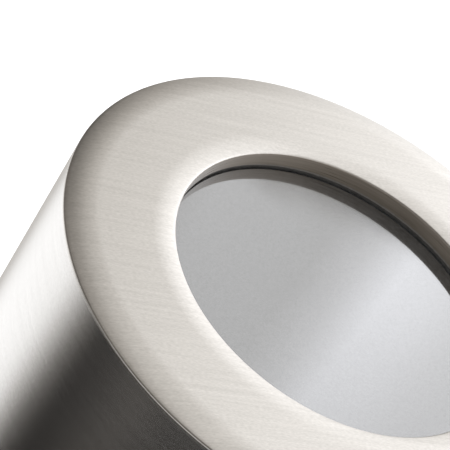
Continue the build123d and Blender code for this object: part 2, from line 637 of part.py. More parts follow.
# ---- base cover -----------------------------------------------------------------------------------
def base_cover():
    """Spun rosette: upright skirt, rounded shoulder, and a gently rising top with a hole for the tube."""
    shoulder = COVER_HEIGHT - COVER_RISE
    inner_radius = COVER_RADIUS - COVER_SHEET
    outer_corner = (COVER_RADIUS, shoulder)
    inner_corner = (inner_radius, shoulder - COVER_SHEET)
    outline = [
        (COVER_RADIUS, COVER_SKIRT_GAP),
        outer_corner,
        (COVER_BORE_RADIUS, COVER_HEIGHT),
        (COVER_BORE_RADIUS, COVER_HEIGHT - COVER_SHEET),
        inner_corner,
        (inner_radius, COVER_SKIRT_GAP),
    ]
    with BuildSketch(Plane.XZ) as sketch:
        with BuildLine(Plane.XZ):
            Polyline(*outline, close=True)
        make_face()
        fillet(corners_at(sketch, outer_corner), COVER_SHOULDER)
        fillet(corners_at(sketch, inner_corner), COVER_SHOULDER - COVER_SHEET)
    return turned(sketch.sketch)


def cover_grip_ring():
    """Rubber ring in the rosette's bore; its lip runs up the tube."""
    inner = TUBE_RADIUS + GRIP_RING_CLEARANCE
    outer = COVER_BORE_RADIUS + 1.6
    top = COVER_HEIGHT + 1.0
    bottom = COVER_HEIGHT - COVER_SHEET - 1.2
    body = ring(inner, outer, bottom, top)
    groove_bottom = COVER_HEIGHT - COVER_SHEET - 0.15
    body -= ring(COVER_BORE_RADIUS - 0.05, outer + 1, groove_bottom, COVER_HEIGHT + 0.02)
    top_edge = body.edges().filter_by(GeomType.CIRCLE).group_by(Axis.Z)[-1].sort_by(SortBy.LENGTH)[-1]
    return chamfer(top_edge, 0.7)


# ---- assembly -------------------------------------------------------------------------------------
def all_parts():
    return {
        "head_shell": head_shell(),
        "head_collar": head_collar(),
        "set_screws": set_screws(),
        "lens_gasket": ring(WINDOW_RADIUS + 0.3, LENS_RADIUS, LENS_TOP, FACE_UNDERSIDE),
        "glass_lens": glass_lens(),
        "lens_cushion": ring(CLAMP_INNER_RADIUS, LENS_RADIUS, CUSHION_BOTTOM, LENS_BOTTOM),
        "clamp_ring": clamp_ring(),
        "weld_studs": weld_studs(),
        "clamp_washers": clamp_washers(),
        "clamp_nuts": clamp_nuts(),
        "post_tube": ring(BORE_RADIUS, TUBE_RADIUS, BASE_PLATE_THICKNESS, POST_TOP),
        "seam_gasket": ring(SPIGOT_RADIUS + 0.3, TUBE_RADIUS - 0.6, POST_TOP, SEAM_TOP),
        "spigot": spigot(),
        "spigot_o_ring": spigot_o_ring(),
        "carrier_plate": carrier_plate(),
        "carrier_screws": around(pan_screw(CARRIER_SCREW_CIRCLE, 0, CARRIER_TOP, 9.0), 3, 30),
        "lead_grommet": lead_grommet(),
        "heat_sink": heat_sink(),
        "heat_sink_screws": heat_sink_screws(),
        "thermal_pad": thermal_pad(),
        "led_board": led_board(),
        "led_emitter": led_emitter(),
        "led_holder": led_holder(),
        "holder_screws": holder_screws(),
        "reflector": reflector(),
        "driver_bracket": driver_bracket(),
        "bracket_screws": bracket_screws(),
        "driver": driver(),
        "driver_screws": driver_screws(),
        "terminal_block": terminal_block(),
        "terminal_screws": terminal_screws(),
        "terminal_fixing_screws": terminal_fixing_screws(),
        "led_lead_red": led_lead(1),
        "led_lead_black": led_lead(-1),
        "mains_lead_brown": mains_lead(0),
        "mains_lead_blue": mains_lead(1),
        "earth_lead": earth_lead(),
        "earth_lug": earth_lug(),
        "earth_screw": earth_screw(),
        "base_plate": base_plate(),
        "base_weld": base_weld(),
        "cable_grommet": cable_grommet(),
        "base_cover": base_cover(),
        "cover_grip_ring": cover_grip_ring(),
    }


def main():
    os.makedirs("parts", exist_ok=True)
    for name, shape in all_parts().items():
        solid = Compound(children=shape) if isinstance(shape, list) else shape
        export_step(solid, f"parts/{name}.step")


main()
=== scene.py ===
"""The bollard light's looks: meshes, materials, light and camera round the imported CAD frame, in metres."""

import json
import math

import bmesh
import bpy
from mathutils import Matrix, Vector


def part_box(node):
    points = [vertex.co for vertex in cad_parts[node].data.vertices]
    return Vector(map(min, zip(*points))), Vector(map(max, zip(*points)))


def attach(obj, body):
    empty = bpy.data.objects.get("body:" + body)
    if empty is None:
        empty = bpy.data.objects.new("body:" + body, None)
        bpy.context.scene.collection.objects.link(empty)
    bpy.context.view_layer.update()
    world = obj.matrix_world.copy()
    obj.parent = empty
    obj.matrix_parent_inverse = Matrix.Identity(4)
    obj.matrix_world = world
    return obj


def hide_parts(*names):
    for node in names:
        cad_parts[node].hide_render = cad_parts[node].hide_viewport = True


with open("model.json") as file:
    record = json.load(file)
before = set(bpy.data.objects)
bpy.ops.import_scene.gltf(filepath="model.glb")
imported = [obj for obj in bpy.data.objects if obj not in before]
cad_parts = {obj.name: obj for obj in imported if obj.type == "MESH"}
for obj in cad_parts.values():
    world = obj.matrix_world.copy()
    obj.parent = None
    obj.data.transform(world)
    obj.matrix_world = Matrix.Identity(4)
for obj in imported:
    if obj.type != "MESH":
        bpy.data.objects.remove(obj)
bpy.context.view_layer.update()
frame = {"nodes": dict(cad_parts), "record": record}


NODES = frame["nodes"]
SLOT_OF = {row["node"]: row["material_slot"] for row in frame["record"]["subparts"]}
MM = 0.001

# ---- places taken from the frame ---------------------------------------------------------------------
HEAD_LOW, HEAD_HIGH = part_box("head_shell")
TOP = HEAD_HIGH.z
SEAM = HEAD_LOW.z
TUBE_RADIUS = HEAD_HIGH.x
FACE_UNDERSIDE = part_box("lens_gasket")[1].z
FACE_CENTRE = Vector((0, 0, TOP))

# ---- shapes that a node's box doesn't give -------------------------------------------------------------
TUBE_WALL = 2.0 * MM
WINDOW_RADIUS = 23.25 * MM
OUTER_ROLL_WIDTH = 4.4 * MM       # the face eases off towards its outer rim
OUTER_ROLL_DROP = 0.82 * MM
INNER_ROLL_WIDTH = 3.4 * MM       # and towards the window
INNER_ROLL_DROP = 0.3 * MM
ROLL_STEPS = 12
EDGE_BREAK = 0.3 * MM
BREAK_STEPS = 6
SET_SCREW_COUNT = 3
SET_SCREW_START = math.radians(90)
SET_SCREW_CLEARANCE = 0.04 * MM
DRILL_OVERSHOOT = 1.0 * MM
LENS_EDGE_GRIND = 0.5 * MM
PHOSPHOR_RADIUS = 5.6 * MM
PHOSPHOR_EDGE = 0.1 * MM
GASKET_INSET = 0.3 * MM           # from the O-ring's outside to the seam gasket's bore
EDGE_BULGE = 0.45                 # share of a sheet's thickness that its rounded edge takes
COVER_BORE_RADIUS = 40.2 * MM
COVER_SHEET = 1.5 * MM
COVER_RISE = 3.0 * MM
COVER_SHOULDER = 6.0 * MM
SHOULDER_STEPS = 10
GRIP_CLEARANCE = 0.3 * MM         # from the tube
GRIP_WAIST_GAP = 0.05 * MM        # from the cover's bore
GRIP_TOP_GAP = 0.02 * MM          # from the cover's top
GRIP_UNDER_GAP = 0.15 * MM        # and from its underside
GRIP_BORE_EDGE = 0.3 * MM
GRIP_FOOT_EDGE = 0.4 * MM
GRIP_SEAT_EDGE = 0.2 * MM
GRIP_LIP_EDGE = 0.7 * MM
WELD_RIPPLES = 96
WELD_STEPS_PER_RIPPLE = 8
WELD_STEPS_ACROSS = 10
WELD_SWEEP = 0.8                  # how far a ripple trails behind, in ripples
WELD_HOLLOW = 0.36                # share of the leg by which the bead's middle dips
WELD_RIPPLE_DEPTH = 0.09
TURNS = 256                       # faces round a lathed piece
HOLE_TURNS = 48

# ---- camera: where it stands from the middle of the outer rim, and how it is held ----------------------
RIM_BELOW_EASING = 0.1 * MM
RIM_CENTRE = Vector((0, 0, TOP - OUTER_ROLL_DROP - RIM_BELOW_EASING))
CAMERA_DISTANCE = 0.25745
CAMERA_ELEVATION = math.radians(37.26)
CAMERA_YAW = math.radians(4.70)
CAMERA_DOWN = math.radians(37.61)
CAMERA_ROLL = math.radians(33.82)
CAMERA_LENS = 161.87
CAMERA_SENSOR = 36
CAMERA_NEAR = 0.01

# ---- light --------------------------------------------------------------------------------------------
FLOOR_RADIUS = 8
FLOOR_SIDES = 96
# A level of 1 is a white that just fills the picture's range.
ROOM_LIGHT = 0.95
SHADE_TINT = (1.0, 0.92, 0.83)        # dark parts of the studio are warm
BRIGHT_TINT = (0.985, 0.995, 1.03)    # the brightest are slightly cold
NEUTRAL_LEVEL = 1.5
BRIGHT_LEVEL = 2.7

# What the shiny surfaces see: for each elevation, a row of (azimuth, level) stops, with the azimuth counted
# from +Y towards +X. Angles are in degrees. Between two stops and between two rows the level changes evenly.
# The three rows below the horizon share their right end. The five across the softbox's foot share both ends.
LOW_RIGHT = [(-12, 0.95), (30, 1.7), (70, 2.1), (105, 1.6), (130, 0.4), (180, 0.05)]
SOFTBOX_LEFT = [(-180, 0.12), (-110, 0.12), (-80, 0.3), (-36, 0.1)]
SOFTBOX_RIGHT = [(40, 2.9), (65, 2.2), (90, 1.5), (120, 0.6), (150, 0.2), (180, 0.12)]
STUDIO = (
    (-60, [
        (-180, 0.04), (-158, 0.04), (-141, 0.06), (-100, 0.01), (-88, 0.02), (-79, 0.5), (-71, 1.7),
        (-65, 1.9), (-58, 1.9), (-46, 1.6), (-36, 0.85), (-26, 0.6), *LOW_RIGHT,
    ]),
    (-44.4, [
        (-180, 0.05), (-158, 0.05), (-141, 0.1), (-117, 0.01), (-102.7, 0.02), (-94.5, 0.58), (-86.7, 1.7),
        (-75, 1.95), (-58, 1.9), (-46, 1.6), (-36, 0.87), (-26, 0.63), *LOW_RIGHT,
    ]),
    (-30, [
        (-180, 0.05), (-165, 0.06), (-148, 0.13), (-125, 0.06), (-115, 0.08), (-106, 0.7), (-97.5, 1.78),
        (-85, 2.0), (-58, 1.95), (-46, 1.65), (-36, 0.9), (-26, 0.65), *LOW_RIGHT,
    ]),
    (0, [
        (-180, 2.0), (-135, 1.5), (-110, 0.3), (-80, 0.5), (-60, 0.25), (-36, 0.1), (-24, 0.48), (-14, 1.05),
        (-6, 1.6), (0, 1.8), (14, 2.0), (30, 2.1), (60, 1.8), (90, 1.2), (120, 0.9), (150, 1.2), (180, 2.0),
    ]),
    (14, [
        (-180, 0.15), (-110, 0.15), (-80, 0.42), (-60, 0.27), (-36, 0.1), (-24, 0.52), (-14, 1.07),
        (-6, 1.65), (0, 2.0), (5, 2.4), (14, 3.0), (40, 3.2), (65, 2.6), (90, 1.5), (120, 0.7), (150, 0.3),
        (180, 0.15),
    ]),
    (34.2, [
        *SOFTBOX_LEFT, (-26, 0.55), (-18, 0.9), (-9, 1.3), (-6, 1.9), (-2.5, 2.3), (-0.7, 2.5), (0.9, 3.0),
        (3, 3.0), (5.8, 2.85), (8, 2.9), (14, 3.1), *SOFTBOX_RIGHT,
    ]),
    (34.9, [
        *SOFTBOX_LEFT, (-26, 0.5), (-18, 0.8), (-9, 1.2), (-6, 1.55), (-3.6, 1.25), (-2.9, 0.75), (-2.1, 0.1),
        (-1.2, 0.02), (-0.5, 0.15), (0, 0.4), (0.6, 1.2), (1.2, 2.0), (3, 2.1), (4.5, 2.0), (5.8, 1.85),
        (8, 2.1), (14, 2.9), *SOFTBOX_RIGHT,
    ]),
    (35.4, [
        *SOFTBOX_LEFT, (-26, 0.53), (-18, 0.85), (-9, 1.2), (-6.2, 1.6), (-5.2, 1.15), (-4.4, 0.7),
        (-3.5, 0.5), (-2.2, 0.8), (-1.0, 1.15), (-0.1, 1.62), (0.9, 2.55), (1.5, 2.7), (3, 2.35), (4.5, 2.0),
        (5.8, 1.85), (8, 2.1), (14, 2.9), *SOFTBOX_RIGHT,
    ]),
    (35.9, [
        *SOFTBOX_LEFT, (-26, 0.55), (-18, 0.9), (-9, 1.2), (-6.2, 1.6), (-5.4, 1.3), (-4.6, 0.75),
        (-4.0, 0.95), (-3.3, 1.25), (-2.5, 1.42), (-1.4, 1.42), (-0.7, 1.62), (-0.1, 1.75), (0.9, 2.65),
        (1.5, 2.75), (3, 2.4), (4.5, 2.0), (5.8, 1.8), (8, 2.1), (14, 2.9), *SOFTBOX_RIGHT,
    ]),
    (36.4, [
        *SOFTBOX_LEFT, (-26, 0.55), (-18, 0.9), (-9, 1.2), (-6, 1.62), (-2.5, 1.5), (-1.4, 1.42),
        (-0.7, 1.62), (-0.1, 1.75), (0.9, 2.65), (1.5, 2.75), (3, 2.4), (4.5, 2.0), (5.8, 1.8), (8, 2.1),
        (14, 2.9), *SOFTBOX_RIGHT,
    ]),
    (46, [
        (-180, 0.15), (-80, 0.35), (-36, 0.55), (-26, 1.0), (-18, 1.15), (-9, 1.22), (0, 1.6), (14, 2.2),
        (40, 2.3), (90, 1.3), (180, 0.15),
    ]),
    (66, [(-180, 0.2), (-60, 0.55), (-40, 1.0), (-25, 1.4), (-10, 1.4), (40, 1.3), (100, 1.0), (180, 0.2)]),
)


# ---- mesh helpers ------------------------------------------------------------------------------------
def new_object(name, bm):
    mesh = bpy.data.meshes.new(name)
    bmesh.ops.recalc_face_normals(bm, faces=bm.faces)
    bm.to_mesh(mesh)
    bm.free()
    obj = bpy.data.objects.new(name, mesh)
    bpy.context.scene.collection.objects.link(obj)
    return obj


def smooth(obj, sharp_degrees=35):
    obj.data.shade_smooth()
    obj.data.set_sharp_from_angle(angle=math.radians(sharp_degrees))
    return obj


def spin(name, outline_at, turns, closed=True):
    """A piece spun round the axis from the outline of (radius, height) points that it has at each step.

    A closed outline makes a ring. An open one gets a flat face over each of its ends.
    """
    bm = bmesh.new()
    rows = []
    for i in range(turns):
        turn = Matrix.Rotation(2 * math.pi * i / turns, 3, "Z")
        rows.append([bm.verts.new(turn @ Vector((r, 0, z))) for r, z in outline_at(i)])
    count = len(rows[0])
    for i in range(turns):
        here, following = rows[i], rows[(i + 1) % turns]
        for k in range(count if closed else count - 1):
            after = (k + 1) % count
            bm.faces.new((here[k], following[k], following[after], here[after]))
    if not closed:
        bm.faces.new([row[0] for row in rows])
        bm.faces.new([row[-1] for row in rows])
    return new_object(name, bm)


def lathe(name, profile):
    return smooth(spin(name, lambda step: profile, TURNS))


def rounded(corners, steps=6):
    """Closed outline through corners given as (radius, height, rounding), each turned into an arc."""
    points = []
    for i, (x, z, rounding) in enumerate(corners):
        here = Vector((x, z))
        before = (Vector(corners[i - 1][:2]) - here).normalized()
        after = (Vector(corners[(i + 1) % len(corners)][:2]) - here).normalized()
        half = before.angle(after) / 2
        centre = here + (before + after).normalized() * (rounding / math.sin(half))
        spoke = here + before * (rounding / math.tan(half)) - centre
        turn = math.copysign(math.pi - 2 * half, before.cross(after))
        for k in range(steps + 1 if rounding else 1):
            points.append(tuple(centre + Matrix.Rotation(-turn * k / steps, 2) @ spoke))
    return points


def eased_edge(edge, outward, width, drop):
    """Outline from the flat of the face, down its easing and round the broken edge to the upright wall.

    outward is 1 at the outer rim and -1 at the window's lip.
    """
    start = edge - outward * width
    slope = 2 * drop / width
    tilt = math.atan(slope)
    centre_radius = edge - outward * EDGE_BREAK
    centre_height = TOP - drop + slope * EDGE_BREAK - EDGE_BREAK / math.cos(tilt)
    easing_end = width - EDGE_BREAK * (1 - math.sin(tilt))
    points = []
    for i in range(ROLL_STEPS):
        run = easing_end * i / ROLL_STEPS
        points.append((start + outward * run, TOP - drop * (run / width) ** 2))
    for i in range(BREAK_STEPS + 1):
        angle = (math.pi / 2 - tilt) * (1 - i / BREAK_STEPS)
        radius = centre_radius + outward * EDGE_BREAK * math.cos(angle)
        points.append((radius, centre_height + EDGE_BREAK * math.sin(angle)))
    return points


def drill(obj, cutter):
    """Cuts one mesh out of another and keeps only the result."""
    cut = obj.modifiers.new("drill", "BOOLEAN")
    cut.operation = "DIFFERENCE"
    cut.solver = "EXACT"
    cut.object = cutter
    bpy.context.view_layer.update()
    seen = obj.evaluated_get(bpy.context.evaluated_depsgraph_get())
    mesh = bpy.data.meshes.new_from_object(seen)
    obj.modifiers.clear()
    obj.data = mesh
    bpy.data.objects.remove(cutter)
    return smooth(obj)


def radial_cylinders(name, radius, inner, outer, height, count, start):
    """Cylinders that lie along evenly spaced radii, as one object."""
    bm = bmesh.new()
    for i in range(count):
        angle = start + 2 * math.pi * i / count
        along = Matrix.Rotation(angle, 4, "Z") @ Matrix.Translation(((inner + outer) / 2, 0, height))
        bmesh.ops.create_cone(
            bm,
            cap_ends=True,
            segments=HOLE_TURNS,
            radius1=radius,
            radius2=radius,
            depth=outer - inner,
            matrix=along @ Matrix.Rotation(math.pi / 2, 4, "Y"),
        )
    return new_object(name, bm)


# ---- material helpers --------------------------------------------------------------------------------
NOISE_LOW = 0.3                   # a noise texture seldom leaves this range
NOISE_HIGH = 0.7
NOISE_ROUGHNESS = 0.55
# The Mix node's first and second inputs and its output, for each kind of value.
MIX_SOCKETS = {"FLOAT": (2, 3, 0), "VECTOR": (4, 5, 1), "RGBA": (6, 7, 2)}


class Nodes:
    """A node tree, and short ways to add nodes to it."""

    def __init__(self, tree):
        self.tree = tree

    def add(self, kind, **settings):
        node = self.tree.nodes.new(kind)
        for key, value in settings.items():
            setattr(node, key, value)
        return node

    def feed(self, source, socket):
        """Links another node's output to the socket, or sets the socket to a number."""
        if isinstance(source, float):
            socket.default_value = source
        else:
            self.tree.links.new(source, socket)

    def maths(self, operation, *sources):
        node = self.add("ShaderNodeMath", operation=operation)
        for socket, source in zip(node.inputs, sources):
            self.feed(source, socket)
        return node.outputs["Value"]

    def spread(self, source, low, high, from_low=NOISE_LOW, from_high=NOISE_HIGH):
        """Stretches the source's range, which is a noise texture's unless given, to run from low to high."""
        node = self.add("ShaderNodeMapRange")
        ranges = {"From Min": from_low, "From Max": from_high, "To Min": low, "To Max": high}
        for socket, value in ranges.items():
            node.inputs[socket].default_value = value
        self.feed(source, node.inputs["Value"])
        return node.outputs["Result"]

    def mix(self, mask, first, second, kind="FLOAT"):
        """The first where the mask is 0, and the second where it is 1."""
        node = self.add("ShaderNodeMix", data_type=kind)
        first_socket, second_socket, result = MIX_SOCKETS[kind]
        self.feed(mask, node.inputs[0])
        self.feed(first, node.inputs[first_socket])
        self.feed(second, node.inputs[second_socket])
        return node.outputs[result]

    def split(self, vector):
        node = self.add("ShaderNodeSeparateXYZ")
        self.feed(vector, node.inputs["Vector"])
        return [node.outputs[axis] for axis in "XYZ"]

    def joined(self, x, y, z):
        node = self.add("ShaderNodeCombineXYZ")
        for socket, source in zip(node.inputs, (x, y, z)):
            self.feed(source, socket)
        return node.outputs["Vector"]


class Shader(Nodes):
    """A material with its Principled shader."""

    def __init__(self, name, **sockets):
        self.material = bpy.data.materials.new(name)
        self.material.use_nodes = True
        super().__init__(self.material.node_tree)
        self.bsdf = self.tree.nodes["Principled BSDF"]
        for socket, value in sockets.items():
            self.bsdf.inputs[socket.replace("_", " ")].default_value = value

    def paint(self, socket, source):
        self.feed(source, self.bsdf.inputs[socket])

    def position(self):
        return self.add("ShaderNodeTexCoord").outputs["Object"]

    def mapped(self, scale, turn=0.0):
        """The position, turned about the axis and then scaled."""
        vector = self.position()
        if turn:
            turning = self.add("ShaderNodeMapping", vector_type="TEXTURE")
            turning.inputs["Rotation"].default_value = (0, 0, turn)
            self.feed(vector, turning.inputs["Vector"])
            vector = turning.outputs["Vector"]
        scaling = self.add("ShaderNodeMapping")
        scaling.inputs["Scale"].default_value = scale
        self.feed(vector, scaling.inputs["Vector"])
        return scaling.outputs["Vector"]

    def from_axis(self):
        """The distance from the axis, and the height."""
        x, y, z = self.split(self.position())
        squares = self.maths("ADD", self.maths("MULTIPLY", x, x), self.maths("MULTIPLY", y, y))
        return self.maths("SQRT", squares), z

    def turned(self, along, across):
        """Coordinates for lines round the axis, on walls and on flat faces alike."""
        x, y, _ = self.split(self.position())
        radius, height = self.from_axis()
        ring = []
        for part in (x, y):
            ring.append(self.maths("MULTIPLY", self.maths("DIVIDE", part, radius), along * TUBE_RADIUS))
        return self.joined(*ring, self.maths("MULTIPLY", self.maths("ADD", radius, height), across))

    def noise(self, vector, detail=3.0):
        node = self.add("ShaderNodeTexNoise")
        node.inputs["Scale"].default_value = 1.0
        node.inputs["Detail"].default_value = detail
        node.inputs["Roughness"].default_value = NOISE_ROUGHNESS
        self.feed(vector, node.inputs["Vector"])
        return node.outputs["Fac"]

    def specks(self, per_metre, detail=4.0):
        return self.noise(self.mapped((per_metre, per_metre, per_metre)), detail)

    def ramp(self, source, dark, light):
        node = self.add("ShaderNodeValToRGB")
        ends = ((NOISE_LOW, dark), (NOISE_HIGH, light))
        for element, (position, colour) in zip(node.color_ramp.elements, ends):
            element.position = position
            element.color = (*colour, 1)
        self.feed(source, node.inputs["Fac"])
        return node.outputs["Color"]

    def surface(self, source, dark, light, rough):
        """Colour and roughness that vary together with the source."""
        self.paint("Base Color", self.ramp(source, dark, light))
        self.paint("Roughness", self.spread(source, *rough))

    def bump(self, source, strength, depth):
        node = self.add("ShaderNodeBump")
        node.inputs["Strength"].default_value = strength
        node.inputs["Distance"].default_value = depth
        self.feed(source, node.inputs["Height"])
        self.paint("Normal", node.outputs["Normal"])

    def brushed_round_axis(self):
        """Turns the highlights the way that brushing round the axis does, on walls and flat faces alike."""
        node = self.add("ShaderNodeTangent", direction_type="RADIAL", axis="Z")
        self.paint("Tangent", node.outputs["Tangent"])


# ---- materials ---------------------------------------------------------------------------------------
# Scales are in changes per metre, along the lines and across them.
GRAIN = (1900.0, 6200.0)          # the short scratches of the brushing
LINES = (60.0, 1500.0)            # the few long lines among them
LINES_SHARE = 0.35
SPUN_LINES = (260.0, 5200.0)
TURNED_LINES = (40.0, 2600.0)
CUT_LINES = (150, 150, 5000)
LINE_DEPTH = 0.006 * MM
BRUSH_ANGLE = math.radians(39)    # direction of the straight brushing on the face
FACE_COLOURS = ((0.387, 0.369, 0.343), (0.523, 0.501, 0.469))
FACE_ROUGH = (0.30, 0.35)
TUBE_COLOURS = ((0.43, 0.42, 0.405), (0.50, 0.49, 0.475))
TUBE_ROUGH = (0.20, 0.24)
QUARTER_TURN = 0.25               # of the highlight, against the tangent


def brushing(s, round_the_tube, turn=0.0):
    """Short scratches with a few long lines among them, from 0 to 1."""
    patterns = []
    for along, across in (GRAIN, LINES):
        scale = (along, along, across) if round_the_tube else (along, across, along)
        patterns.append(s.noise(s.mapped(scale, turn)))
    return s.mix(LINES_SHARE, *patterns)


def brushed_tube_steel():
    """Stainless steel brushed round and round the tube."""
    s = Shader("brushed_steel", Metallic=1.0, Anisotropic=0.75)
    grain = brushing(s, True)
    s.surface(grain, *TUBE_COLOURS, rough=TUBE_ROUGH)
    s.bump(grain, strength=0.1, depth=LINE_DEPTH)
    s.paint("Tangent", s.joined(0.0, 0.0, 1.0))
    return s.material


def spun_steel():
    """Steel brushed round the axis on its top as well as on its skirt."""
    s = Shader("spun_steel", Metallic=1.0, Anisotropic=0.6, Anisotropic_Rotation=QUARTER_TURN)
    grain = s.noise(s.turned(*SPUN_LINES))
    s.surface(grain, *TUBE_COLOURS, rough=(0.22, 0.27))
    s.bump(grain, strength=0.1, depth=LINE_DEPTH)
    s.brushed_round_axis()
    return s.material


def head_steel():
    """The tube's brushing on the skirt, and straight brushing across the face."""
    s = Shader("head_steel", Metallic=1.0, Anisotropic=0.55)
    height = s.split(s.position())[2]
    rim = TOP - OUTER_ROLL_DROP
    on_face = s.spread(height, 0, 1, rim - 2 * EDGE_BREAK, rim - EDGE_BREAK / 2)
    skirt, face = brushing(s, True), brushing(s, False, BRUSH_ANGLE)
    colours = [s.ramp(skirt, *TUBE_COLOURS), s.ramp(face, *FACE_COLOURS)]
    s.paint("Base Color", s.mix(on_face, *colours, "RGBA"))
    s.paint("Roughness", s.mix(on_face, s.spread(skirt, *TUBE_ROUGH), s.spread(face, *FACE_ROUGH)))
    s.bump(s.mix(on_face, skirt, face), strength=0.2, depth=LINE_DEPTH)
    up = s.joined(0.0, 0.0, 1.0)
    across = s.joined(-math.sin(BRUSH_ANGLE), math.cos(BRUSH_ANGLE), 0.0)
    s.paint("Tangent", s.mix(on_face, up, across, "VECTOR"))
    return s.material


def cut_steel():
    """The window's wall: a dull turned cut, browner than the brushing, with painted shade that darkens it
    towards the gasket.
    """
    s = Shader("cut_steel", Metallic=0.45)
    height = s.split(s.position())[2]
    # Painted shade: the wall's colour darkens from its top down to the gasket, as if the recess shaded it.
    rise = s.spread(height, 0, 1, FACE_UNDERSIDE, TOP - INNER_ROLL_DROP)
    lines = s.noise(s.mapped(CUT_LINES))
    painted_shade = s.ramp(lines, (0.178, 0.151, 0.121), (0.24, 0.21, 0.174))
    unshaded = s.ramp(lines, (0.235, 0.204, 0.169), (0.313, 0.274, 0.235))
    s.paint("Base Color", s.mix(rise, painted_shade, unshaded, "RGBA"))
    s.paint("Roughness", s.spread(lines, 0.27, 0.35))
    return s.material


def lens_glass():
    """Thick smoked glass: a dark satin body with fine dust on it, under a bright polished surface."""
    s = Shader(
        "lens_glass", IOR=1.9, Transmission_Weight=0.3, Coat_Weight=1.0, Coat_Roughness=0.03, Coat_IOR=2.4
    )
    s.paint("Base Color", s.ramp(s.specks(3000, detail=2), (0.002, 0.003, 0.004), (0.045, 0.046, 0.048)))
    s.paint("Roughness", s.spread(s.specks(90), 0.1, 0.14))
    return s.material


def chip_package():
    """White ceramic round a disc of yellow phosphor."""
    s = Shader("emitter")
    radius, _ = s.from_axis()
    grain = s.specks(1600)
    phosphor = s.ramp(grain, (0.82, 0.60, 0.10), (0.95, 0.76, 0.20))
    ceramic = s.ramp(grain, (0.78, 0.78, 0.76), (0.86, 0.86, 0.84))
    outside = s.spread(radius, 0, 1, PHOSPHOR_RADIUS, PHOSPHOR_RADIUS + PHOSPHOR_EDGE)
    s.paint("Base Color", s.mix(outside, phosphor, ceramic, "RGBA"))
    s.paint("Roughness", s.spread(grain, 0.3, 0.45))
    s.bump(grain, strength=0.3, depth=0.01 * MM)
    return s.material


def turned_metal(name, dark, light, rough):
    """Machined metal with fine lines round the axis."""
    s = Shader(name, Metallic=1.0, Anisotropic=0.4, Anisotropic_Rotation=QUARTER_TURN)
    lines = s.noise(s.turned(*TURNED_LINES))
    s.surface(lines, dark, light, rough)
    s.bump(lines, strength=0.12, depth=LINE_DEPTH)
    s.brushed_round_axis()
    return s.material


def speckled(name, dark, light, per_metre, rough, depth, metallic=0.0):
    """A moulded, coated or cast surface with a fine even grain."""
    s = Shader(name, Metallic=metallic)
    grain = s.specks(per_metre)
    s.surface(grain, dark, light, rough)
    s.bump(grain, strength=0.3, depth=depth * MM)
    return s.material


# Darkest colour, lightest colour and roughness.
TURNED = {
    "turned_aluminium": ((0.66, 0.66, 0.67), (0.78, 0.78, 0.79), (0.22, 0.34)),
    "plain_aluminium": ((0.68, 0.68, 0.69), (0.80, 0.80, 0.81), (0.3, 0.42)),
    "reflector_aluminium": ((0.84, 0.84, 0.85), (0.92, 0.92, 0.93), (0.06, 0.12)),
}
# Darkest colour, lightest colour, grains per metre, roughness, depth of the grain in mm and, for a metal,
# how metallic it is.
SPECKLED = {
    "black_rubber": ((0.018, 0.017, 0.017), (0.035, 0.034, 0.033), 1800, (0.5, 0.7), 0.02),
    "grey_silicone": ((0.19, 0.175, 0.158), (0.245, 0.228, 0.21), 1800, (0.4, 0.55), 0.01),
    "stainless_fastener": ((0.52, 0.51, 0.50), (0.66, 0.65, 0.64), 900, (0.22, 0.36), 0.008, 1.0),
    "plain_steel": ((0.50, 0.50, 0.50), (0.62, 0.62, 0.62), 700, (0.3, 0.45), 0.01, 1.0),
    "zinc_steel": ((0.52, 0.54, 0.56), (0.68, 0.69, 0.70), 160, (0.3, 0.5), 0.008, 1.0),
    "base_steel": ((0.42, 0.42, 0.42), (0.56, 0.56, 0.56), 260, (0.38, 0.55), 0.02, 1.0),
    "black_aluminium": ((0.02, 0.02, 0.022), (0.05, 0.05, 0.055), 1500, (0.38, 0.52), 0.01, 0.6),
    "brass": ((0.62, 0.47, 0.20), (0.76, 0.60, 0.30), 900, (0.22, 0.36), 0.008, 1.0),
    "tinned_copper": ((0.64, 0.64, 0.62), (0.76, 0.76, 0.74), 700, (0.25, 0.4), 0.01, 1.0),
    "thermal_pad": ((0.34, 0.44, 0.52), (0.42, 0.52, 0.60), 900, (0.7, 0.85), 0.02),
    "board_white": ((0.78, 0.78, 0.77), (0.86, 0.86, 0.85), 600, (0.22, 0.3), 0.005),
    "white_plastic": ((0.74, 0.74, 0.72), (0.82, 0.82, 0.80), 1500, (0.4, 0.55), 0.01),
    "driver_plastic": ((0.72, 0.72, 0.70), (0.80, 0.80, 0.78), 2200, (0.5, 0.65), 0.03),
    "terminal_plastic": ((0.62, 0.62, 0.60), (0.70, 0.70, 0.68), 1400, (0.4, 0.5), 0.01),
    "wire_red": ((0.42, 0.02, 0.02), (0.52, 0.03, 0.03), 700, (0.3, 0.42), 0.01),
    "wire_black": ((0.012, 0.012, 0.012), (0.025, 0.025, 0.025), 700, (0.3, 0.42), 0.01),
    "wire_brown": ((0.12, 0.045, 0.02), (0.17, 0.07, 0.03), 700, (0.3, 0.42), 0.01),
    "wire_blue": ((0.02, 0.09, 0.38), (0.03, 0.13, 0.48), 700, (0.3, 0.42), 0.01),
    "wire_green": ((0.06, 0.28, 0.04), (0.10, 0.36, 0.06), 700, (0.3, 0.42), 0.01),
}
MATERIALS = {
    "brushed_steel": brushed_tube_steel(),
    "spun_steel": spun_steel(),
    "head_steel": head_steel(),
    "cut_steel": cut_steel(),
    "lens_glass": lens_glass(),
    "emitter": chip_package(),
    **{name: turned_metal(name, *row) for name, row in TURNED.items()},
    **{name: speckled(name, *row) for name, row in SPECKLED.items()},
}


def dress(obj, material):
    obj.data.materials.clear()
    obj.data.materials.append(material)
    return obj


def dress_cad_nodes():
    """Every CAD node wears its slot's material, and the lens gasket a lighter rubber."""
    for name, obj in NODES.items():
        dress(obj, MATERIALS[SLOT_OF[name]])
    dress(NODES["lens_gasket"], MATERIALS["grey_silicone"])


